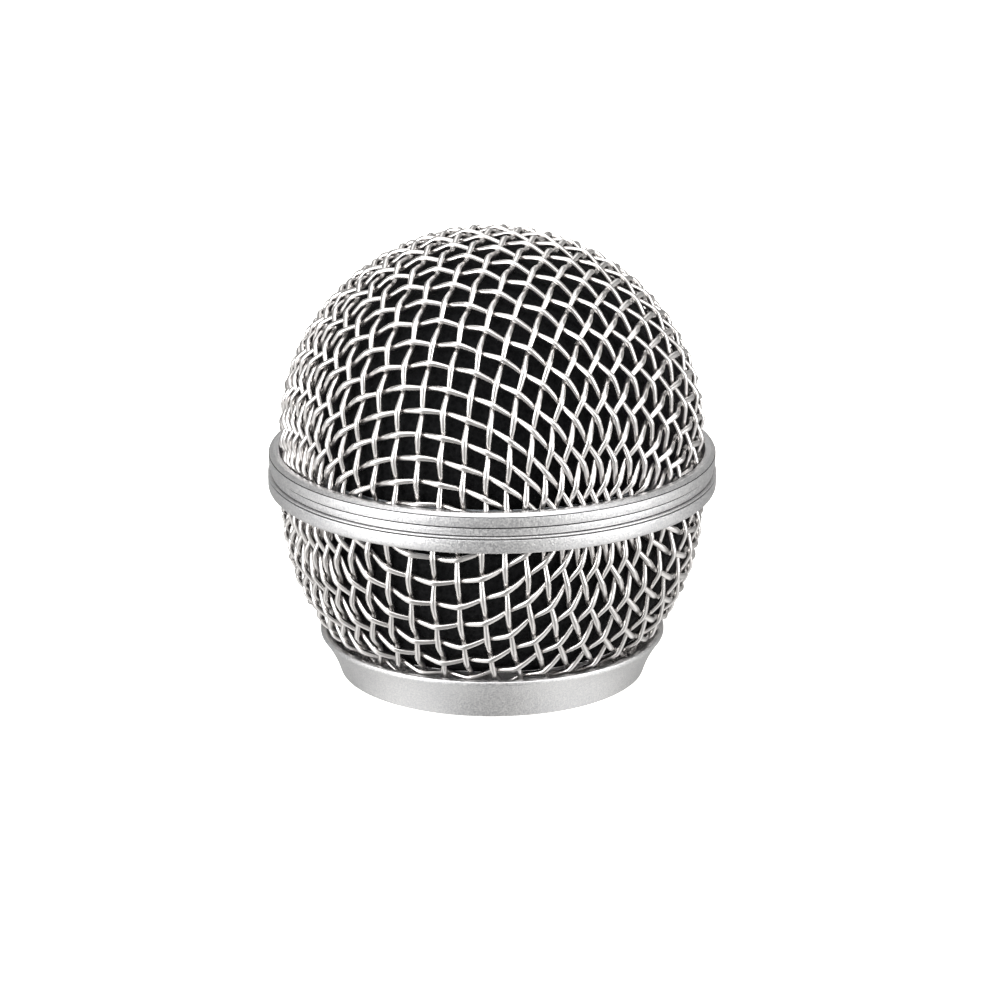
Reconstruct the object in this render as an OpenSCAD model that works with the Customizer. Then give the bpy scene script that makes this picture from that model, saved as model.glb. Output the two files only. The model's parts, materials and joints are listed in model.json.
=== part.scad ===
// Ball grille head of a hand-held vocal microphone: a woven wire dome and bowl, a two-ring
// centre band, a flared threaded collar and a foam liner that backs the mesh.
// The origin is the centre of the collar's bottom face, and +Z runs up to the crown.

/* [Band] */
// Outer diameter of the lower band ring, the widest place of the head
band_d = 51; // [42:0.1:62]
// Wall of the lower band ring beside the bowl
ring_wall = 1.25; // [1.1:0.05:2]
// Height of the lower band ring
lower_ring_h = 1.65; // [1.4:0.05:3]
// Radius of the lower ring's rounded bottom edge
ring_round = 0.45; // [0.2:0.05:0.7]
// Height of the upper band ring above the parting line
upper_ring_h = 2.95; // [2.4:0.05:4]
// How far the upper ring stands inside the lower one, on the radius
ring_step = 0.1; // [0.05:0.05:0.3]
// Depth of the waist round the upper ring
waist_depth = 0.25; // [0.1:0.05:0.4]
// Height of the waist
waist_h = 1.1; // [0.6:0.05:1.6]
// Height of the thin flange under the waist
flange_h = 0.2; // [0.15:0.05:0.4]
// Height of the open seam under the flange
seam_h = 0.12; // [0.05:0.01:0.2]
// Depth of that seam
seam_depth = 0.3; // [0.1:0.05:0.4]
// Height of the spigot that presses the upper ring into the lower one
spigot_h = 1; // [0.6:0.05:1.2]
// Wall of that spigot
spigot_wall = 0.55; // [0.4:0.05:0.6]

/* [Mesh] */
// Diameter of the wire
wire_d = 0.65; // [0.5:0.01:0.8]
// Spacing of the wires along the mesh
mesh_pitch = 2.65; // [1.9:0.01:4]
// Turn of the dome's weave about the head's axis, in degrees
dome_turn = -19; // [-45:1:45]
// Turn of the bowl's weave about the head's axis, in degrees
bowl_turn = -15; // [-45:1:45]
// How far the mesh runs into each band ring
mesh_tuck = 1.4; // [1:0.05:1.6]
// Height of the dome's crown above the band's top face
dome_h = 25.2; // [20:0.1:32]
// Height of the lower ring's bottom edge above the bowl's widest place
bowl_shoulder = 1.8; // [1:0.1:3.5]

/* [Collar] */
// Height of the collar
collar_h = 4.95; // [4.6:0.05:7]
// Wall of the collar at its bottom face
foot_wall = 2.5; // [2:0.1:3]
// Height of the lip round the rim
lip_h = 0.5; // [0.3:0.05:0.8]
// Wall of the lip beside the mesh
lip_wall = 0.6; // [0.4:0.05:0.8]
// Radius of the hollow flare under the lip
flare_radius = 14; // [9:0.5:20]
// Height of the solid foot under the cup that takes the bowl's edge
foot_h = 3; // [2.4:0.1:3.6]
// Nominal diameter of the thread that takes the handle
thread_d = 31; // [25:0.1:37]
// Pitch of that thread
thread_pitch = 1; // [0.75:0.25:1.5]

/* [Inner parts] */
// Wall of the hoop that backs the mesh inside the band
hoop_wall = 0.5; // [0.4:0.05:0.8]
// Height of that hoop
hoop_h = 5.1; // [4:0.1:6]
// Wall of the clamp ring at its foot
clamp_wall = 0.9; // [0.7:0.05:1.3]
// Height of the clamp ring
clamp_h = 2.3; // [1.7:0.05:3]
// How far the clamp ring's bore stands back from the thread's
clamp_relief = 0.2; // [0.1:0.05:0.4]
// Thickness of the foam liner
foam_wall = 5; // [3:0.1:6]

/* [Clearances] */
// Between the bowl's mesh and the metal outside it
mesh_gap = 0.2; // [0.1:0.05:0.4]
// Between the dome's mesh and the upper ring's bore
dome_gap = 0.2; // [0.1:0.05:0.5]
// Between the two layers of wire where they cross
weave_gap = 0.02; // [0.01:0.01:0.06]
// Between an inner piece and the mesh or the foam beside it
inner_gap = 0.05; // [0.03:0.01:0.1]
// Between the cut ends of the bowl's wires and the floor of the collar's cup
wire_end_gap = 0.9; // [0.4:0.05:1.2]

/* [Hidden] */

$fn = 96;
// Facets round a wire's own section
wire_fn = 16;
// Steps of a rounded edge
round_steps = 6;
// Overshoot of a cutting body past the face that it opens
cut = 1;
// Depth of a 60 degree thread for each millimetre of pitch, on the diameter
thread_depth = 1.0825;

// Radius, at height z, of a sphere of radius r that is centred at height z0
function radius_at(r, z0, z) = sqrt(pow(r, 2) - pow(z - z0, 2));

bore_r = (thread_d - thread_depth * thread_pitch) / 2;
foot_r = bore_r + foot_wall;

// The cloth is two layers of wire, each layer_offset from its middle
layer_offset = (wire_d + weave_gap) / 2;
cloth_half = layer_offset + wire_d / 2;

// The bowl is a sphere that passes just inside the lower ring's bore and just outside the
// clamp ring's foot
ring_bore_r = band_d / 2 - ring_wall;
bowl_outer_r = norm([ring_bore_r - mesh_gap, bowl_shoulder]);
bowl_r = bowl_outer_r - cloth_half;
bowl_inner_r = bowl_r - cloth_half - inner_gap;
bowl_end_z = foot_h + wire_end_gap;
clamp_bore_r = bore_r + clamp_relief;
clamp_foot_r = clamp_bore_r + clamp_wall;
clamp_foot_z = bowl_end_z - inner_gap;
clamp_top_z = foot_h + clamp_h;
bowl_z = clamp_foot_z + radius_at(bowl_inner_r, 0, clamp_foot_r);
clamp_top_r = radius_at(bowl_inner_r, bowl_z, clamp_top_z);

// The collar's cup is cut parallel to the bowl, so the lip's wall sets the rim
cup_r = bowl_outer_r + mesh_gap;
rim_r = radius_at(cup_r, bowl_z, collar_h) + lip_wall;
flare_top_z = collar_h - lip_h;

ring_z = bowl_z + bowl_shoulder;
parting_z = ring_z + lower_ring_h;
band_top_z = parting_z + upper_ring_h;
bowl_top_z = ring_z + mesh_tuck;
spigot_z = parting_z - spigot_h;
upper_bore_r = radius_at(bowl_outer_r, bowl_z, spigot_z) + mesh_gap;
upper_r = band_d / 2 - ring_step;
spigot_r = upper_bore_r + spigot_wall;

// The dome is a sphere that passes just inside the upper ring's bore and through the crown
dome_base_r = upper_bore_r - dome_gap;
dome_outer_r = (pow(dome_base_r, 2) + pow(dome_h, 2)) / (2 * dome_h);
dome_z = band_top_z + dome_h - dome_outer_r;
dome_r = dome_outer_r - cloth_half;
dome_inner_r = dome_r - cloth_half - inner_gap;
dome_end_z = band_top_z - mesh_tuck;

// The hoop lies inside both meshes all the way up
hoop_z = parting_z - hoop_h / 2;
hoop_top_z = parting_z + hoop_h / 2;
hoop_r = min(
    radius_at(bowl_inner_r, bowl_z, hoop_z),
    radius_at(bowl_inner_r, bowl_z, bowl_top_z),
    radius_at(dome_inner_r, dome_z, dome_end_z),
    radius_at(dome_inner_r, dome_z, hoop_top_z)
);
rebate_r = hoop_r - hoop_wall - inner_gap;

// Points of an arc of radius r about c, from angle a0 to angle a1
function arc(c, r, a0, a1) =
    [for (i = [0 : round_steps]) let (a = a0 + (a1 - a0) * i / round_steps) c + r * [cos(a), sin(a)]];

// Angle from the middle wire to the i-th, so that they are mesh_pitch apart along the sphere
function wire_angle(i, r) = i * mesh_pitch / r * 180 / PI;

// Number of wires each side of the middle one that reach a cut end at the given drop
function side_wires(r, drop) = floor(acos((drop + wire_d) / r) * PI / 180 * r / mesh_pitch);

// One wire in the plane x = 0: a round section swept from angle a0 to a1 above +Y
module wire(arc_r, a0, a1) {
    rotate([90, 0, 90])
        rotate_extrude(start = a0, angle = a1 - a0)
            translate([arc_r, 0])
                circle(d = wire_d, $fn = wire_fn);
}

// One layer of the dome: each wire rises from the band, crosses the dome and goes down again
module dome_layer(layer_r) {
    count = side_wires(dome_r, abs(dome_z - dome_end_z));
    for (i = [-count : count]) {
        a = wire_angle(i, dome_r);
        arc_r = layer_r * cos(a);
        end_a = asin((dome_end_z - dome_z) / arc_r);
        translate([layer_r * sin(a), 0, dome_z])
            wire(arc_r, end_a, 180 - end_a);
    }
}

// One layer of the bowl: the collar's opening cuts the middle wires in two, and the outer
// ones run on from band to band
module bowl_layer(layer_r) {
    count = side_wires(bowl_r, abs(bowl_top_z - bowl_z));
    drop = bowl_z - bowl_end_z;
    for (i = [-count : count]) {
        a = wire_angle(i, bowl_r);
        arc_r = layer_r * cos(a);
        top_a = asin((bowl_top_z - bowl_z) / arc_r);
        translate([layer_r * sin(a), 0, bowl_z])
            if (arc_r > norm([drop, wire_d])) {
                end_a = -asin(drop / arc_r);
                wire(arc_r, end_a, top_a);
                wire(arc_r, 180 - top_a, 180 - end_a);
            } else {
                wire(arc_r, 180 - top_a, 360 + top_a);
            }
    }
}

// Flared base ring with the handle's thread bore and the cup for the bowl's edge
module collar() {
    chord = [rim_r - foot_r, flare_top_z];
    reach = radius_at(flare_radius, 0, norm(chord) / 2);
    hollow = [foot_r, 0] + chord / 2 + reach * [chord.y, -chord.x] / norm(chord);
    color("silver")
        difference() {
            cylinder(r = rim_r, h = collar_h);
            translate([0, 0, -cut])
                cylinder(r = bore_r, h = collar_h + 2 * cut);
            rotate_extrude()
                translate(hollow)
                    circle(r = flare_radius);
            intersection() {
                translate([0, 0, bowl_z])
                    sphere(r = cup_r);
                translate([0, 0, foot_h])
                    cylinder(r = rim_r + cut, h = collar_h);
            }
        }
}

// Wedge ring inside the bowl's edge, which holds it against the cup
module collar_clamp_ring() {
    color("silver")
        rotate_extrude()
            polygon([
                [clamp_bore_r, foot_h],
                [clamp_foot_r, foot_h],
                [clamp_foot_r, clamp_foot_z],
                [clamp_top_r, clamp_top_z],
                [clamp_bore_r, clamp_top_z]
            ]);
}

module bowl_warp_wires() {
    color("gainsboro")
        rotate([0, 0, bowl_turn])
            bowl_layer(bowl_r + layer_offset);
}

module bowl_weft_wires() {
    color("gainsboro")
        rotate([0, 0, bowl_turn + 90])
            bowl_layer(bowl_r - layer_offset);
}

// Lower band ring: rounded under its outer edge and counterbored for the spigot
module band_lower_ring() {
    outer_r = band_d / 2;
    color("silver")
        rotate_extrude()
            polygon(concat(
                [
                    [spigot_r, parting_z],
                    [spigot_r, spigot_z],
                    [ring_bore_r, spigot_z],
                    [ring_bore_r, ring_z]
                ],
                arc([outer_r - ring_round, ring_z + ring_round], ring_round, -90, 0),
                [[outer_r, parting_z]]
            ));
}

// Upper band ring: flat top, waist, thin flange, open seam and spigot
module band_upper_ring() {
    waist_r = upper_r - waist_depth;
    flange_z = parting_z + seam_h;
    waist_z = flange_z + flange_h;
    color("silver")
        rotate_extrude()
            polygon([
                [upper_bore_r, band_top_z],
                [upper_bore_r, spigot_z],
                [spigot_r, spigot_z],
                [spigot_r, parting_z],
                [band_d / 2 - seam_depth, parting_z],
                [band_d / 2 - seam_depth, flange_z],
                [band_d / 2, flange_z],
                [band_d / 2, waist_z],
                [waist_r, waist_z],
                [waist_r, waist_z + waist_h],
                [upper_r, waist_z + waist_h],
                [upper_r, band_top_z]
            ]);
}

// Thin hoop that backs both meshes inside the band
module band_inner_hoop() {
    color("darkgray")
        translate([0, 0, hoop_z])
            difference() {
                cylinder(r = hoop_r, h = hoop_h);
                translate([0, 0, -cut])
                    cylinder(r = hoop_r - hoop_wall, h = hoop_h + 2 * cut);
            }
}

module dome_warp_wires() {
    color("gainsboro")
        rotate([0, 0, dome_turn])
            dome_layer(dome_r + layer_offset);
}

module dome_weft_wires() {
    color("gainsboro")
        rotate([0, 0, dome_turn + 90])
            dome_layer(dome_r - layer_offset);
}

// Room for the hoop in the foam: everything outside rebate_r over the hoop's height
module hoop_room() {
    translate([0, 0, hoop_z - inner_gap])
        difference() {
            cylinder(r = band_d / 2, h = hoop_h + 2 * inner_gap);
            translate([0, 0, -cut])
                cylinder(r = rebate_r, h = hoop_h + 2 * cut);
        }
}

// Foam sleeve inside the bowl, from the clamp ring up to the parting line
module foam_sleeve() {
    color("#1c1c1e")
        difference() {
            intersection() {
                translate([0, 0, bowl_z])
                    sphere(r = bowl_inner_r);
                translate([0, 0, clamp_top_z])
                    cylinder(r = band_d / 2, h = parting_z - clamp_top_z);
            }
            hoop_room();
            translate([0, 0, bowl_z])
                sphere(r = bowl_inner_r - foam_wall);
            cylinder(r = clamp_bore_r, h = bowl_z);
        }
}

// Foam cap inside the dome, from the parting line up to the crown
module foam_dome() {
    color("#1c1c1e")
        difference() {
            intersection() {
                translate([0, 0, dome_z])
                    sphere(r = dome_inner_r);
                translate([0, 0, parting_z])
                    cylinder(r = band_d / 2, h = upper_ring_h + dome_h);
            }
            hoop_room();
            translate([0, 0, dome_z])
                sphere(r = dome_inner_r - foam_wall);
        }
}

collar();
collar_clamp_ring();
bowl_warp_wires();
bowl_weft_wires();
band_lower_ring();
band_inner_hoop();
band_upper_ring();
dome_warp_wires();
dome_weft_wires();
foam_sleeve();
foam_dome();
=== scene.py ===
"""Ball grille head of a hand-held vocal microphone, put together from the collar up."""
import json

import bmesh
import bpy
import numpy as np
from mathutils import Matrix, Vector


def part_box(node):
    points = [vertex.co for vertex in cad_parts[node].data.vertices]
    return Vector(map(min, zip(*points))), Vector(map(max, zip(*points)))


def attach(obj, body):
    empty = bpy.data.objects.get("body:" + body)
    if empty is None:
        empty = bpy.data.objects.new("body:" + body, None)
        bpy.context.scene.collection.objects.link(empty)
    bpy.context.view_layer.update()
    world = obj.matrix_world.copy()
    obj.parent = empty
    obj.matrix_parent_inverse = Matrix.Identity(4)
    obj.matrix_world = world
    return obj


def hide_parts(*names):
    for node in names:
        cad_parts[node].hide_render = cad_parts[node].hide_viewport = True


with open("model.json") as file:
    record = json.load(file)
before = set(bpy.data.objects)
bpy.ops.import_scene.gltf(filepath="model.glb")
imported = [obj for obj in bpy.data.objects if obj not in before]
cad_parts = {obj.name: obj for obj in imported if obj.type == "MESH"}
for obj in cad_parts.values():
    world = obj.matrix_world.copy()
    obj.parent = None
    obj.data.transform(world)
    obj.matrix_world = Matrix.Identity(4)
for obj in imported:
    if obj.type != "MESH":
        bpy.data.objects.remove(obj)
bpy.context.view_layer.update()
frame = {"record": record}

# ---- Collar -----------------------------------------------------------------------------
# The base ring is a zinc casting, turned inside and out, bead-blasted and plated with satin
# nickel. It screws onto the handle and its cup takes the bowl's cut edge.

MM = 0.001
ROUND_STEPS = 5
TURN_STEPS = 256


def rounded(corners):
    """Closed outline in radius and height, from corners given as (radius, height, fillet) in
    millimetres. Each fillet is an arc that touches both sides of its corner, and it shrinks
    where a side is too short for it."""
    points = np.array([c[:2] for c in corners], float)
    outline = []
    for i, (corner, fillet) in enumerate(zip(points, [c[2] for c in corners])):
        before, after = points[i - 1] - corner, points[(i + 1) % len(points)] - corner
        room = 0.45 * min(np.linalg.norm(before), np.linalg.norm(after))
        before, after = before / np.linalg.norm(before), after / np.linalg.norm(after)
        half = np.arccos(np.clip(before @ after, -1, 1)) / 2
        setback = min(fillet / np.tan(half), room)
        if setback < 1e-4:
            outline.append(corner[None])
            continue
        middle = (before + after) / np.linalg.norm(before + after)
        centre = corner + middle * setback / np.cos(half)
        start = corner + before * setback - centre
        end = corner + after * setback - centre
        t = np.linspace(0, 1, ROUND_STEPS + 1)[:, None]
        swing = np.pi / 2 - half
        weights = np.sin((1 - t) * 2 * swing), np.sin(t * 2 * swing)
        outline.append(centre + (weights[0] * start + weights[1] * end) / np.sin(2 * swing))
    return np.concatenate(outline)


def grid_faces(rows, columns, close_rows):
    """Quads of a grid of rows x columns points whose columns close on themselves."""
    last = rows if close_rows else rows - 1
    row, column = np.meshgrid(np.arange(last), np.arange(columns), indexing="ij")
    here, there = row * columns, (row + 1) % rows * columns
    on = (column + 1) % columns
    return np.stack([here + column, here + on, there + on, there + column], -1).reshape(-1, 4)


def new_piece(name, points, faces, material, smooth_angle=None):
    """A piece from points in metres and faces, smooth, on the one body and in one material."""
    mesh = bpy.data.meshes.new(name)
    mesh.from_pydata(points.reshape(-1, 3), [], [list(f) for f in faces])
    mesh.polygons.foreach_set("use_smooth", np.ones(len(mesh.polygons), bool))
    mesh.materials.append(material)
    mesh.validate()
    if smooth_angle:
        mesh.set_sharp_from_angle(angle=np.radians(smooth_angle))
    piece = bpy.data.objects.new(name, mesh)
    bpy.context.scene.collection.objects.link(piece)
    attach(piece, "root")
    return piece


def turned(outline, radial=0):
    """Points of an outline in millimetres turned about +Z: one row for each outline point and
    one column for each step of the turn. radial, in millimetres, is added to the radius."""
    turn = np.linspace(0, 2 * np.pi, TURN_STEPS, endpoint=False)
    r = outline[:, :1] + radial + 0 * turn
    z = outline[:, 1:] + 0 * turn
    return np.stack([r * np.cos(turn), r * np.sin(turn), z], -1) * MM


def linear(hex_colour):
    """Linear RGBA of an sRGB hex colour."""
    srgb = np.array([int(hex_colour[i : i + 2], 16) / 255 for i in (1, 3, 5)])
    rgb = np.where(srgb <= 0.04045, srgb / 12.92, ((srgb + 0.055) / 1.055) ** 2.4)
    return (*rgb, 1.0)


def add_node(tree, kind, settings=(), inputs=()):
    """Adds a node with its settings, and its inputs as values or as other nodes' outputs."""
    node = tree.nodes.new(kind)
    for key, value in dict(settings).items():
        setattr(node, key, value)
    for key, value in dict(inputs).items():
        if isinstance(value, bpy.types.NodeSocket):
            tree.links.new(value, node.inputs[key])
        else:
            node.inputs[key].default_value = value
    return node


def new_material(name):
    """An empty material's tree and its Principled shader, linked to the output."""
    material = bpy.data.materials.new(name)
    material.use_nodes = True
    tree = material.node_tree
    return material, tree, tree.nodes["Principled BSDF"]


def node_box(node):
    """A CAD node's lowest and highest corners, in millimetres."""
    lowest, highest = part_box(node)
    return np.array(lowest) / MM, np.array(highest) / MM


def satin_nickel():
    """Bead-blasted satin nickel plate: a soft grey metal that sparkles with a very fine, even
    grit. The real grit is about 0.05 mm; it is drawn at 0.1 mm so that it shows."""
    material, tree, shader = new_material("satin_nickel_plate")
    place = add_node(tree, "ShaderNodeTexCoord").outputs["Object"]
    grit = add_node(tree, "ShaderNodeTexNoise", (), {"Vector": place, "Scale": 1 / (0.2 * MM), "Detail": 2.0})
    cloud = add_node(tree, "ShaderNodeTexNoise", (), {"Vector": place, "Scale": 1 / (9 * MM), "Detail": 2.0})
    mottle = add_node(
        tree,
        "ShaderNodeMath",
        {"operation": "MULTIPLY_ADD"},
        {0: cloud.outputs["Fac"], 1: 0.4, 2: grit.outputs["Fac"]},
    )
    sparkle = add_node(
        tree, "ShaderNodeMapRange", (), {"Value": mottle.outputs[0], "From Min": 0.5, "From Max": 0.9}
    )
    tone = add_node(
        tree,
        "ShaderNodeMix",
        {"data_type": "RGBA"},
        {"Factor": sparkle.outputs["Result"], "A": linear("#BFBFC1"), "B": linear("#DCDBDA")},
    )
    tree.links.new(tone.outputs["Result"], shader.inputs["Base Color"])
    rough = add_node(
        tree,
        "ShaderNodeMapRange",
        (),
        {"Value": grit.outputs["Fac"], "From Min": 0.3, "From Max": 0.7, "To Min": 0.32, "To Max": 0.52},
    )
    tree.links.new(rough.outputs["Result"], shader.inputs["Roughness"])
    bump = add_node(
        tree,
        "ShaderNodeBump",
        (),
        {"Height": grit.outputs["Fac"], "Strength": 1.0, "Distance": 0.035 * MM},
    )
    tree.links.new(bump.outputs["Normal"], shader.inputs["Normal"])
    shader.inputs["Metallic"].default_value = 1.0
    return material


plate = satin_nickel()

collar_high = node_box("collar")[1]
thread = next(m for m in frame["record"]["mounts"] if m["name"] == "handle_thread")
bore_r = thread["dims"]["r_mm"]
foot_h = thread["dims"]["length_mm"]
foot_wall = 2.5
foot_r = bore_r + foot_wall
rim_r = collar_high[0]
rim_z = collar_high[2]
lip_h = 0.5
lip_wall = 0.6
flare_radius = 14
cup_floor_r = 17.3
thread_pitch = 1.0
thread_depth = 0.54

flare_top = rim_z - lip_h
chord = np.array([rim_r - foot_r, flare_top])
reach = np.sqrt(flare_radius**2 - (chord @ chord) / 4)
hollow = np.array([foot_r, 0]) + chord / 2 + reach * np.array([chord[1], -chord[0]]) / np.linalg.norm(chord)
flare = [
    (hollow[0] - np.sqrt(flare_radius**2 - (z - hollow[1]) ** 2), z, 0.0)
    for z in np.linspace(0, flare_top, 14)[1:-1]
]
thread_walls = [(bore_r, z, 0.0) for z in np.linspace(foot_h, 0, 76)[1:-1]]
collar_outline = rounded(
    [(bore_r, 0, 0.12), (foot_r, 0, 0.15)]
    + flare
    + [
        (rim_r, flare_top, 0.2),
        (rim_r, rim_z, 0.22),
        (rim_r - lip_wall, rim_z, 0.15),
        (cup_floor_r, foot_h, 0.1),
        (bore_r, foot_h, 0.1),
    ]
    + thread_walls
)
turn_angle = np.linspace(0, 1, TURN_STEPS, endpoint=False)
height = collar_outline[:, 1:]
ridge = np.abs((height / thread_pitch - turn_angle) % 1 - 0.5) * 2
run_out = np.clip(np.minimum(height - 0.1, foot_h - 0.1 - height) / 0.4, 0, 1)
on_bore = collar_outline[:, :1] < bore_r + 0.05
threading = on_bore * run_out * thread_depth * np.clip(ridge * 1.3 - 0.15, 0, 1)
collar = new_piece(
    "collar_casting",
    turned(collar_outline, threading),
    grid_faces(len(collar_outline), TURN_STEPS, True),
    plate,
    smooth_angle=40,
)
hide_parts("collar")

# ---- Clamp ring -------------------------------------------------------------------------
# A small turned wedge ring of the same plated zinc, pressed down inside the bowl's edge. Its
# top edge shows through the mesh as a thin bright line just above the collar's lip.

clamp_low, clamp_high = node_box("collar_clamp_ring")
clamp_setback = 0.2
clamp_foot_wall = 0.9
clamp_foot_h = 0.85
clamp_bore_r = bore_r + clamp_setback
clamp_foot_r = clamp_bore_r + clamp_foot_wall
clamp_outline = rounded(
    [
        (clamp_bore_r, clamp_low[2], 0.1),
        (clamp_foot_r, clamp_low[2], 0.1),
        (clamp_foot_r, clamp_low[2] + clamp_foot_h, 0.1),
        (clamp_high[0], clamp_high[2], 0.12),
        (clamp_bore_r, clamp_high[2], 0.12),
    ]
)
clamp_ring = new_piece(
    "clamp_ring",
    turned(clamp_outline),
    grid_faces(len(clamp_outline), TURN_STEPS, True),
    plate,
    smooth_angle=40,
)
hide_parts("collar_clamp_ring")

# ---- Bowl mesh --------------------------------------------------------------------------
# Plain-woven nickel-plated steel wire, 0.65 mm thick, drawn over a former from flat cloth. The
# cloth shears into narrow diamonds on the diagonals, and its cut edges end in the metal rings.

WIRE_D = 0.65
WIRE_SIDES = 12
WEAVE_RISE = 0.39
FINE = 20


def draped_cloth(radius, pitch):
    """Square cloth drawn over a sphere, as knots[i, j] in millimetres with the pole at the
    middle. The two wires through the pole are great circles. Every further knot is the mirror
    image of the knot diagonally behind it, in the plane through the sphere's centre and its
    two neighbours, so that all the sides stay equal. FINE steps make one pitch."""
    half_step = pitch / FINE / 2 / radius
    step = 2 * np.arcsin(half_step)
    count = int(0.78 * np.pi / step)
    along = np.arange(count + 1) * step
    knots = np.full((count + 1, count + 1, 3), np.nan)
    knots[:, 0] = np.stack([np.sin(along), 0 * along, np.cos(along)], -1)
    knots[0, :] = np.stack([0 * along, np.sin(along), np.cos(along)], -1)
    for diagonal in range(2, 2 * count + 1):
        i = np.arange(max(1, diagonal - count), min(count, diagonal - 1) + 1)
        j = diagonal - i
        mirror = np.cross(knots[i - 1, j], knots[i, j - 1])
        mirror /= np.linalg.norm(mirror, axis=-1, keepdims=True)
        behind = knots[i - 1, j - 1]
        knots[i, j] = behind - 2 * (behind * mirror).sum(-1, keepdims=True) * mirror
        knots[i, j] = np.where(knots[i, j, 2:] > -0.45, knots[i, j], np.nan)
    right = np.concatenate([knots[:, :0:-1] * [1, -1, 1], knots], 1)
    return np.concatenate([right[:0:-1] * [-1, 1, 1], right], 0) * radius


def weave_height(t):
    """Rise and fall of a woven wire, a rounded zigzag from +1 over one wire to -1 under the
    next, where t counts wires crossed."""
    sharpness = 0.93
    return np.arcsin(sharpness * np.cos(np.pi * t)) / np.arcsin(sharpness)


def wire_tubes(lines, sections):
    """Points and faces of wires along lines, each an array of points in millimetres. sections
    holds each point's outward direction and its height in the weave from -1 to +1. A ring of
    points turns about the line, starting outwards, and a flat cap closes each end. The former
    presses the wire a little flat and wide on its crests."""
    points, faces, total = [], [], 0
    turn = np.linspace(0, 2 * np.pi, WIRE_SIDES, endpoint=False)[:, None]
    for line, (outward, crest) in zip(lines, sections):
        forward = np.gradient(line, axis=0)
        forward /= np.linalg.norm(forward, axis=1, keepdims=True)
        outward = outward - (outward * forward).sum(1, keepdims=True) * forward
        outward /= np.linalg.norm(outward, axis=1, keepdims=True)
        across = np.cross(forward, outward)
        tall, wide = (1 - 0.05 * (1 + crest)) * WIRE_D / 2, (1.0 + 0.07 * crest) * WIRE_D / 2
        ring = np.cos(turn) * (outward * tall[:, None])[:, None]
        ring = ring + np.sin(turn) * (across * wide[:, None])[:, None]
        points.append((line[:, None] + ring).reshape(-1, 3))
        cap = np.arange(WIRE_SIDES)
        far = (len(line) - 1) * WIRE_SIDES
        faces += (grid_faces(len(line), WIRE_SIDES, False) + total).tolist()
        faces += [(cap[::-1] + total).tolist(), (cap + far + total).tolist()]
        total += len(line) * WIRE_SIDES
    return np.concatenate(points) * MM, faces


def woven_layer(cloth, centre_z, upside, turn, own_start, cross_start, swap, lead, low, high, seed):
    """One layer of a cloth's wires. Lines of the cloth a pitch apart are turned about the axis
    and set at centre_z, upside -1 hanging the cloth with its pole down. They rise and fall over
    the other layer, wander a little sideways as hand-drawn cloth does, and are cut to the
    heights from low to high. own_start and cross_start are the fine steps from the pole to the
    first wire of this layer and of the other, and lead says which layer is on top there."""
    rng = np.random.default_rng(seed)
    knots = cloth.transpose(1, 0, 2) if swap else cloth
    middle = len(knots) // 2
    reach = middle // FINE
    cos, sin = np.cos(np.radians(turn)), np.sin(np.radians(turn))
    about = np.array([[cos, sin, 0], [-sin, cos, 0], [0, 0, 1]])
    place = np.arange(-middle, middle + 1, 2)
    lines, sections = [], []
    for k in range(-reach, reach):
        row = knots[middle + own_start + k * FINE, middle + place]
        row = (row * [1, 1, upside]) @ about
        outward = row / np.linalg.norm(row, axis=1, keepdims=True)
        side = lead * (-1) ** k * (-1 if swap else 1)
        crest = side * weave_height((place - cross_start) / FINE)
        rise = crest * WEAVE_RISE
        forward = np.gradient(row, axis=0)
        sideways = np.cross(outward, forward)
        sideways /= np.linalg.norm(sideways, axis=1, keepdims=True)
        waves = rng.uniform(0, 2 * np.pi, 3)[:, None] + np.array([[0.9], [1.7], [3.1]]) * place / FINE
        wander = np.sin(waves).sum(0) * 0.035
        line = row + outward * rise[:, None] + sideways * wander[:, None] + [0, 0, centre_z]
        inside = np.isfinite(line[:, 0]) & (line[:, 2] > low) & (line[:, 2] < high)
        edges = np.flatnonzero(np.diff(np.concatenate([[0], inside, [0]])))
        for start, stop in edges.reshape(-1, 2):
            if stop - start > 8:
                lines.append(line[start:stop])
                sections.append((outward[start:stop], crest[start:stop]))
    return wire_tubes(lines, sections)


def plated_wire():
    """Drawn steel wire with bright nickel plate: a warm near-white metal that shines in soft
    streaks, a little duller where the cloth was handled."""
    material, tree, shader = new_material("nickel_plated_wire")
    place = add_node(tree, "ShaderNodeTexCoord").outputs["Object"]
    handled = add_node(
        tree, "ShaderNodeTexNoise", (), {"Vector": place, "Scale": 1 / (4 * MM), "Detail": 3.0}
    )
    drawn = add_node(
        tree, "ShaderNodeTexNoise", (), {"Vector": place, "Scale": 1 / (0.25 * MM), "Detail": 2.0}
    )
    tone = add_node(
        tree,
        "ShaderNodeMix",
        {"data_type": "RGBA"},
        {"Factor": handled.outputs["Fac"], "A": linear("#CECBC9"), "B": linear("#E4E1DF")},
    )
    tree.links.new(tone.outputs["Result"], shader.inputs["Base Color"])
    rough = add_node(
        tree,
        "ShaderNodeMapRange",
        (),
        {"Value": handled.outputs["Fac"], "From Min": 0.3, "From Max": 0.7, "To Min": 0.24, "To Max": 0.34},
    )
    tree.links.new(rough.outputs["Result"], shader.inputs["Roughness"])
    bump = add_node(
        tree,
        "ShaderNodeBump",
        (),
        {"Height": drawn.outputs["Fac"], "Strength": 0.2, "Distance": 0.02 * MM},
    )
    tree.links.new(bump.outputs["Normal"], shader.inputs["Normal"])
    shader.inputs["Metallic"].default_value = 1.0
    return material


wire_metal = plated_wire()

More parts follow.
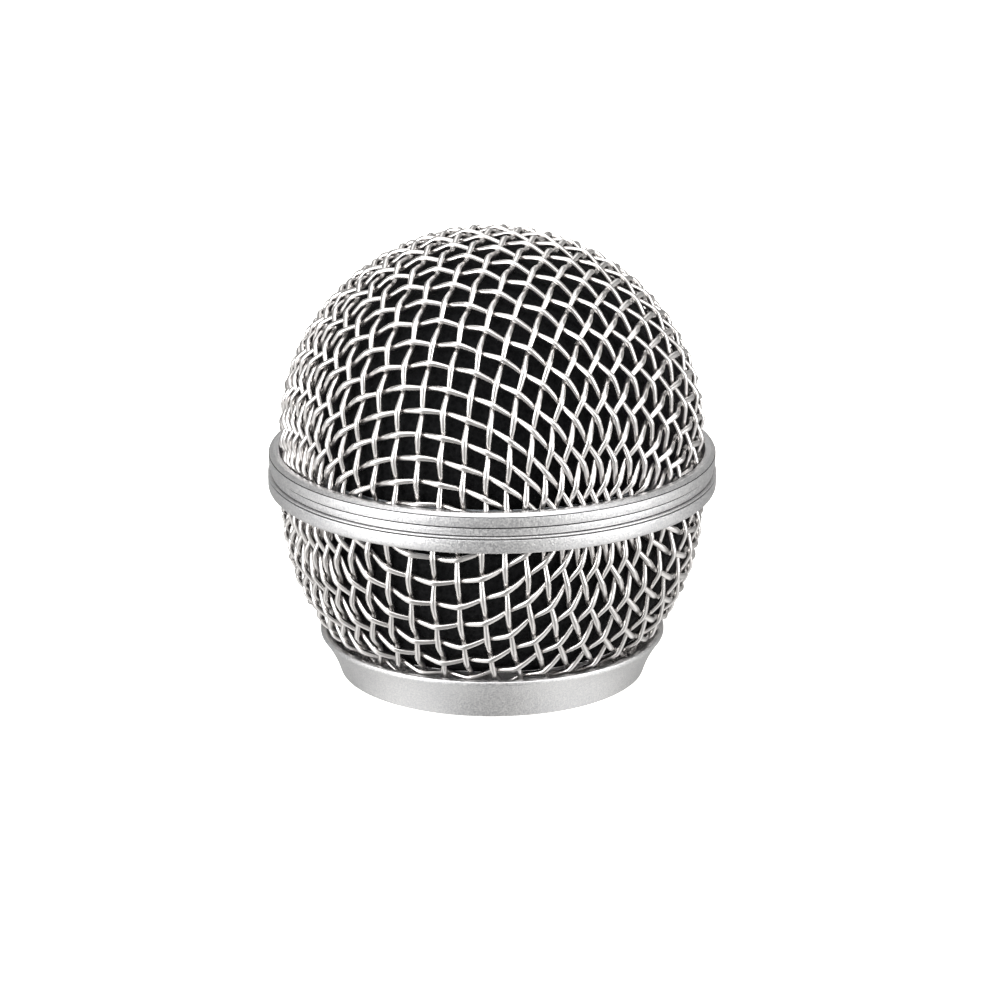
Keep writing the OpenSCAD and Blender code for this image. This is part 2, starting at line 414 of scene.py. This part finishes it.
cloth_half = WIRE_D + 0.01
ring_low, ring_high = node_box("band_lower_ring")
ring_z = ring_low[2]
parting_z = ring_high[2]
ring_wall = 1.25
wire_gap = 0.2
bowl_drop = 1.8
bowl_z = ring_z - bowl_drop
bowl_outer_r = np.hypot(ring_high[0] - ring_wall - wire_gap, bowl_drop)
bowl_r = bowl_outer_r - cloth_half
bowl_pitch = 2.77
bowl_turn = -15.0
bowl_cut_low = foot_h + 0.9
bowl_cut_high = ring_z + 1.4
bowl_cloth = draped_cloth(bowl_r, bowl_pitch)
for name, node, swap, own, cross in (
    ("bowl_mesh_lengthwise", "bowl_warp_wires", False, 17, 11),
    ("bowl_mesh_crosswise", "bowl_weft_wires", True, 11, 17),
):
    points, faces = woven_layer(
        bowl_cloth, bowl_z, -1, bowl_turn, own, cross, swap, -1, bowl_cut_low, bowl_cut_high, 5 + swap
    )
    layer = new_piece(name, points, faces, wire_metal)
    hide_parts(node)

# ---- Lower band ring --------------------------------------------------------------------
# A pressed and plated ring that grips the top of the bowl. Its lower edge is rounded over, and
# its upper half is bored out for the spigot of the ring above.

upper_low, upper_high = node_box("band_upper_ring")
band_r = ring_high[0]
ring_bore_r = band_r - ring_wall
spigot_z = upper_low[2]
spigot_wall = 0.55
upper_bore_r = np.sqrt(bowl_outer_r**2 - (spigot_z - bowl_z) ** 2) + wire_gap
spigot_r = upper_bore_r + spigot_wall
lower_outline = rounded(
    [
        (spigot_r, parting_z, 0.05),
        (spigot_r, spigot_z, 0.0),
        (ring_bore_r, spigot_z, 0.05),
        (ring_bore_r, ring_z, 0.12),
        (band_r, ring_z, 0.5),
        (band_r, parting_z, 0.06),
    ]
)
lower_ring = new_piece(
    "lower_ring",
    turned(lower_outline),
    grid_faces(len(lower_outline), TURN_STEPS, True),
    plate,
    smooth_angle=40,
)
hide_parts("band_lower_ring")

# ---- Inner hoop -------------------------------------------------------------------------
# A rolled strip of thin steel, left in its dull zinc plate, that backs both mesh edges inside
# the band. Its rolled edges are broken so that they don't cut the foam.

hoop_low, hoop_high = node_box("band_inner_hoop")
hoop_wall = 0.5


def zinc_strip():
    """Zinc-plated strip steel: a dull blue-grey metal with faint rolling lines round it."""
    material, tree, shader = new_material("zinc_plated_strip")
    place = add_node(tree, "ShaderNodeTexCoord").outputs["Object"]
    flat = add_node(tree, "ShaderNodeMapping", (), {"Vector": place, "Scale": (0.05, 0.05, 1.0)})
    rolled = add_node(
        tree,
        "ShaderNodeTexNoise",
        (),
        {"Vector": flat.outputs["Vector"], "Scale": 1 / (0.3 * MM), "Detail": 2.0},
    )
    rough = add_node(
        tree, "ShaderNodeMapRange", (), {"Value": rolled.outputs["Fac"], "To Min": 0.35, "To Max": 0.55}
    )
    tree.links.new(rough.outputs["Result"], shader.inputs["Roughness"])
    shader.inputs["Base Color"].default_value = linear("#9FA3A8")
    shader.inputs["Metallic"].default_value = 1.0
    return material


hoop_outline = rounded(
    [
        (hoop_high[0] - hoop_wall, hoop_low[2], 0.15),
        (hoop_high[0], hoop_low[2], 0.15),
        (hoop_high[0], hoop_high[2], 0.15),
        (hoop_high[0] - hoop_wall, hoop_high[2], 0.15),
    ]
)
hoop = new_piece(
    "inner_hoop",
    turned(hoop_outline),
    grid_faces(len(hoop_outline), TURN_STEPS, True),
    zinc_strip(),
    smooth_angle=40,
)
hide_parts("band_inner_hoop")

# ---- Upper band ring --------------------------------------------------------------------
# The turned and plated upper ring takes the dome's edge. Its top has a broad chamfer that ends
# in a fine groove, and a shallow waist and a thin flange stand below it, just clear of the lower
# ring.

band_top_z = upper_high[2]
chamfer_w = 0.55
chamfer_z = band_top_z - 0.34
upper_r = band_r - 0.1
waist_r = upper_r - 0.25
flange_z = parting_z + 0.12
waist_z = flange_z + 0.2
waist_low_z = waist_z + 0.1
waist_high_z = waist_z + 0.9
waist_top_z = waist_z + 1.1
fine_groove_z = chamfer_z - 0.1
upper_outline = rounded(
    [
        (upper_bore_r, band_top_z, 0.12),
        (upper_bore_r, spigot_z, 0.05),
        (spigot_r, spigot_z, 0.05),
        (spigot_r, parting_z, 0.0),
        (band_r - 0.3, parting_z, 0.0),
        (band_r - 0.3, flange_z, 0.0),
        (band_r, flange_z, 0.07),
        (band_r, waist_z, 0.07),
        (waist_r - 0.1, waist_z, 0.0),
        (waist_r - 0.1, waist_low_z, 0.0),
        (waist_r, waist_low_z, 0.02),
        (waist_r, waist_high_z, 0.02),
        (waist_r - 0.12, waist_high_z, 0.0),
        (waist_r - 0.12, waist_top_z, 0.0),
        (upper_r, waist_top_z, 0.06),
        (upper_r, fine_groove_z, 0.02),
        (upper_r - 0.06, fine_groove_z, 0.0),
        (upper_r - 0.06, chamfer_z, 0.0),
        (upper_r - chamfer_w, band_top_z, 0.3),
    ]
)


def groove_film():
    """Painted shade for the turned grooves: a near-black to dark grey coat, mottled at random, put on the
    faces where shade falls in the grooves and the open seam.
    """
    material, tree, shader = new_material("groove_film")
    place = add_node(tree, "ShaderNodeTexCoord").outputs["Object"]
    shade_mottle = add_node(tree, "ShaderNodeTexNoise", (), {"Vector": place, "Scale": 1 / (0.8 * MM), "Detail": 3.0})
    # Painted shade: near-black in the grooves, a little lighter at random, for the shade that falls inside
    # them.
    tone = add_node(
        tree,
        "ShaderNodeMix",
        {"data_type": "RGBA"},
        {"Factor": shade_mottle.outputs["Fac"], "A": linear("#121213"), "B": linear("#3C3C3E")},
    )
    tree.links.new(tone.outputs["Result"], shader.inputs["Base Color"])
    shader.inputs["Metallic"].default_value = 0.6
    shader.inputs["Roughness"].default_value = 0.6
    return material


upper_ring = new_piece(
    "upper_ring",
    turned(upper_outline),
    grid_faces(len(upper_outline), TURN_STEPS, True),
    plate,
    smooth_angle=40,
)
# The faces on the floors and walls of the grooves and of the open seam carry the painted shade, a dark coat
# that stands in for the shade inside them.
middle = (upper_outline + np.roll(upper_outline, -1, 0)) / 2
in_groove = np.zeros(len(middle), bool)
for groove_low, groove_high, rim in (
    (parting_z, flange_z, band_r - 0.02),
    (waist_z, waist_low_z, waist_r - 0.01),
    (waist_high_z, waist_top_z, waist_r - 0.01),
    (fine_groove_z, chamfer_z, upper_r - 0.01),
):
    within = (middle[:, 1] > groove_low - 1e-4) & (middle[:, 1] < groove_high + 1e-4)
    in_groove |= within & (middle[:, 0] < rim) & (middle[:, 0] > spigot_r + 0.02)
upper_ring.data.materials.append(groove_film())
upper_ring.data.polygons.foreach_set("material_index", np.repeat(in_groove, TURN_STEPS).astype(np.int32))
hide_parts("band_upper_ring")

# ---- Dome mesh --------------------------------------------------------------------------
# The same woven wire, drawn deeper over a slightly squat former, stands in the upper ring's
# bore, where it is stuck down.

dome_high = node_box("dome_warp_wires")[1]
dome_pitch = 2.645
dome_turn = -18.5
dome_waist_h = 1.64
crown_trim = 0.08
mesh_tuck = 1.4
dome_wide = upper_bore_r
dome_z = band_top_z + dome_waist_h
dome_tall = dome_high[2] - dome_z - crown_trim
squat = (dome_tall - cloth_half) / (dome_wide - cloth_half)
dome_cloth = draped_cloth(dome_wide - cloth_half, dome_pitch) * [1, 1, squat]
dome_cut_low = band_top_z - mesh_tuck
for name, node, swap, own, cross in (
    ("dome_mesh_lengthwise", "dome_warp_wires", False, -6, 9),
    ("dome_mesh_crosswise", "dome_weft_wires", True, 9, -6),
):
    points, faces = woven_layer(
        dome_cloth, dome_z, 1, dome_turn, own, cross, swap, 1, dome_cut_low, dome_high[2] + 1, 9 + swap
    )
    layer = new_piece(name, points, faces, wire_metal)
    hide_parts(node)

# ---- Foam liner -------------------------------------------------------------------------
# Two pieces of black open-cell polyurethane foam back the mesh: a sleeve in the bowl and a cap
# in the dome. They are cut soft and slightly rough, and they are pushed in through the collar.


def open_cell_foam():
    """Black reticulated foam: a dull near-black with pores of about half a millimetre, each pore's middle
    painted darker as painted shade in the open cell.
    """
    material, tree, shader = new_material("black_open_cell_foam")
    place = add_node(tree, "ShaderNodeTexCoord").outputs["Object"]
    pores = add_node(tree, "ShaderNodeTexVoronoi", (), {"Vector": place, "Scale": 1 / (0.55 * MM)})
    # Painted shade: the colour darkens towards each pore's middle, standing in for the shade inside the open
    # cells.
    tone = add_node(
        tree,
        "ShaderNodeMix",
        {"data_type": "RGBA"},
        {"Factor": pores.outputs["Distance"], "A": linear("#020203"), "B": linear("#141415")},
    )
    tree.links.new(tone.outputs["Result"], shader.inputs["Base Color"])
    bump = add_node(
        tree,
        "ShaderNodeBump",
        (),
        {"Height": pores.outputs["Distance"], "Strength": 0.8, "Distance": 0.2 * MM},
    )
    tree.links.new(bump.outputs["Normal"], shader.inputs["Normal"])
    shader.inputs["Roughness"].default_value = 0.95
    shader.inputs["Specular IOR Level"].default_value = 0.1
    return material


foam = open_cell_foam()


def close_poles(piece):
    """Merges the points of a turned piece that meet on its axis, and drops what is left there."""
    work = bmesh.new()
    work.from_mesh(piece.data)
    bmesh.ops.remove_doubles(work, verts=work.verts[:], dist=0.001 * MM)
    bmesh.ops.delete(work, geom=[e for e in work.edges if not e.link_faces], context="EDGES")
    work.to_mesh(piece.data)
    work.free()


def foam_piece(name, node, outline, seed):
    """A turned foam piece whose skin swells and sinks a tenth of a millimetre, in waves a few
    millimetres long, as foam does where it is cut and squeezed."""
    rng = np.random.default_rng(seed)
    turn = np.linspace(0, 2 * np.pi, TURN_STEPS, endpoint=False)
    along = np.cumsum(np.hypot(*np.diff(outline, axis=0, prepend=outline[:1]).T))[:, None]
    swell = sum(
        np.sin(lobes * turn + along * rng.uniform(0.6, 2.2) + rng.uniform(0, 6))
        for lobes in rng.integers(9, 60, 7)
    )
    off_axis = np.clip(outline[:, :1], 0, 1)
    skin = (swell * 0.012 - 0.06) * off_axis
    piece = new_piece(name, turned(outline, skin), grid_faces(len(outline), TURN_STEPS, True), foam)
    close_poles(piece)
    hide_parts(node)


def ball_side(radius, centre_z, low, high, count):
    """Outline points on a sphere of that radius, from height low to height high."""
    z = np.linspace(low, high, count)
    return np.stack([np.sqrt(np.maximum(radius**2 - (z - centre_z) ** 2, 0)), z], -1)


sleeve_low, sleeve_high = node_box("foam_sleeve")
foam_wall = 5.0
foam_gap = 0.05
mouth_drop = 9.22
rebate_r = hoop_high[0] - hoop_wall - foam_gap
ball_r = sleeve_high[0]
sleeve_outline = np.concatenate(
    [
        ball_side(ball_r, bowl_z, sleeve_low[2], hoop_low[2] - foam_gap, 60),
        [[rebate_r, hoop_low[2] - foam_gap], [rebate_r, sleeve_high[2]]],
        ball_side(ball_r - foam_wall, bowl_z, sleeve_high[2], bowl_z - mouth_drop, 40),
        [[clamp_bore_r, sleeve_low[2]]],
    ]
)
foam_piece("foam_sleeve_lining", "foam_sleeve", sleeve_outline, 3)
cap_low, cap_high = node_box("foam_dome")
cap_r = cap_high[0]
cap_z = cap_high[2] - cap_r
# The squat dome presses the cap's crown down a little, which keeps it clear of the wires.
crown_drop = 0.25
cap_side = ball_side(cap_r, cap_z, hoop_high[2] + foam_gap, cap_high[2], 90)
cap_side[:, 1] -= (cap_side[:, 1] - cap_z) * crown_drop / cap_r
cap_outline = np.concatenate(
    [
        [[rebate_r, cap_low[2]], [rebate_r, hoop_high[2] + foam_gap]],
        cap_side,
        ball_side(cap_r - foam_wall, cap_z, cap_high[2] - foam_wall, cap_low[2], 70),
    ]
)
foam_piece("foam_cap_lining", "foam_dome", cap_outline, 4)

# ---- Studio -----------------------------------------------------------------------------
# A plain white floor in a dim room. Soft panels stand at the front left, front right, above
# and behind, with a dark gap between them for the camera, so the metal shows its shape.

floor_mesh = bpy.data.meshes.new("studio_floor")
floor_z = -0.1 * MM
floor_corners = [(-3, -3, floor_z), (3, -3, floor_z), (3, 3, floor_z), (-3, 3, floor_z)]
floor_mesh.from_pydata(floor_corners, [], [(0, 1, 2, 3)])
floor = bpy.data.objects.new("studio_floor", floor_mesh)
bpy.context.scene.collection.objects.link(floor)
floor_material, _, floor_shader = new_material("white_floor")
floor_shader.inputs["Base Color"].default_value = linear("#FAFAF7")
floor_shader.inputs["Roughness"].default_value = 0.9
floor_shader.inputs["Emission Color"].default_value = linear("#FFFFFB")
floor_shader.inputs["Emission Strength"].default_value = 0.75
floor_mesh.materials.append(floor_material)
floor.visible_glossy = False
floor.visible_shadow = False

world = bpy.data.worlds.new("dim_room")
world.use_nodes = True
room = world.node_tree
direction = add_node(room, "ShaderNodeTexCoord").outputs["Generated"]
part_of = add_node(room, "ShaderNodeSeparateXYZ", (), {"Vector": direction}).outputs
lean = add_node(
    room, "ShaderNodeMath", {"operation": "MULTIPLY_ADD"}, {0: part_of["Z"], 1: 0.45, 2: part_of["Y"]}
)
ahead = add_node(room, "ShaderNodeMath", {"operation": "MULTIPLY"}, {0: lean.outputs[0], 1: -1.0})
round_to = add_node(room, "ShaderNodeMath", {"operation": "ARCTAN2"}, {0: part_of["X"], 1: ahead.outputs[0]})
share = add_node(room, "ShaderNodeMath", {"operation": "ABSOLUTE"}, {0: round_to.outputs[0]})
share = add_node(room, "ShaderNodeMath", {"operation": "DIVIDE"}, {0: share.outputs[0], 1: np.pi})
walls = add_node(room, "ShaderNodeValToRGB", (), {"Fac": share.outputs[0]})
walls.color_ramp.interpolation = "EASE"
stops = walls.color_ramp.elements
wall_glow = ((0, 0.3), (12, 0.36), (38, 1.0), (80, 0.95), (108, 0.58), (132, 0.34), (158, 0.36), (180, 0.3))
for degrees, glow in wall_glow:
    stop = stops[0] if degrees == 0 else stops[-1] if degrees == 180 else stops.new(degrees / 180)
    stop.color = (glow, glow, glow * 0.99, 1)
below = add_node(
    room,
    "ShaderNodeMapRange",
    (),
    {"Value": part_of["Z"], "From Min": -0.85, "From Max": -0.35, "To Min": 1.35, "To Max": 1.0},
)
room.links.new(walls.outputs["Color"], room.nodes["Background"].inputs["Color"])
room.links.new(below.outputs["Result"], room.nodes["Background"].inputs["Strength"])
bpy.context.scene.world = world
bpy.context.scene.view_settings.view_transform = "Standard"


def soft_panel(name, azimuth, elevation, distance, size, glow):
    """A square soft light that faces the head, at an azimuth from the camera's side, an
    elevation and a distance, with a radiance of glow."""
    light = bpy.data.lights.new(name, "AREA")
    light.shape = "SQUARE"
    light.size = size
    light.energy = glow * np.pi * size**2
    panel = bpy.data.objects.new(name, light)
    turn, tilt = np.radians(azimuth), np.radians(elevation)
    away = Vector((np.sin(turn) * np.cos(tilt), -np.cos(turn) * np.cos(tilt), np.sin(tilt)))
    panel.location = Vector((0, 0, 0.024)) + away * distance
    panel.rotation_euler = away.to_track_quat("Z", "Y").to_euler()
    bpy.context.scene.collection.objects.link(panel)


soft_panel("left_panel", -55, 12, 0.6, 0.45, 6.0)
soft_panel("right_panel", 63, 12, 0.6, 0.38, 6.0)
soft_panel("top_panel", 0, 70, 0.6, 0.7, 2.8)
soft_panel("back_panel", 180, 55, 0.7, 0.5, 1.2)

# The camera stands 0.5 m off, 17.5 degrees above the middle of the band.
camera_distance = 0.5
camera_tilt = np.radians(17.5)
band_middle = Vector((0, 0, (parting_z + 0.35) * MM))
camera = bpy.data.objects.new("camera", bpy.data.cameras.new("camera"))
camera.data.lens = 158.1
camera.data.sensor_width = 36
camera.data.clip_start = 0.01
camera_up = Vector((0, np.sin(camera_tilt), np.cos(camera_tilt)))
camera.location = band_middle + camera_distance * Vector((0, -np.cos(camera_tilt), np.sin(camera_tilt)))
aim_point = band_middle + Vector((0.00089, 0, 0)) - 0.00377 * camera_up
camera.rotation_euler = (aim_point - camera.location).to_track_quat("-Z", "Y").to_euler()
bpy.context.scene.collection.objects.link(camera)
bpy.context.scene.camera = camera
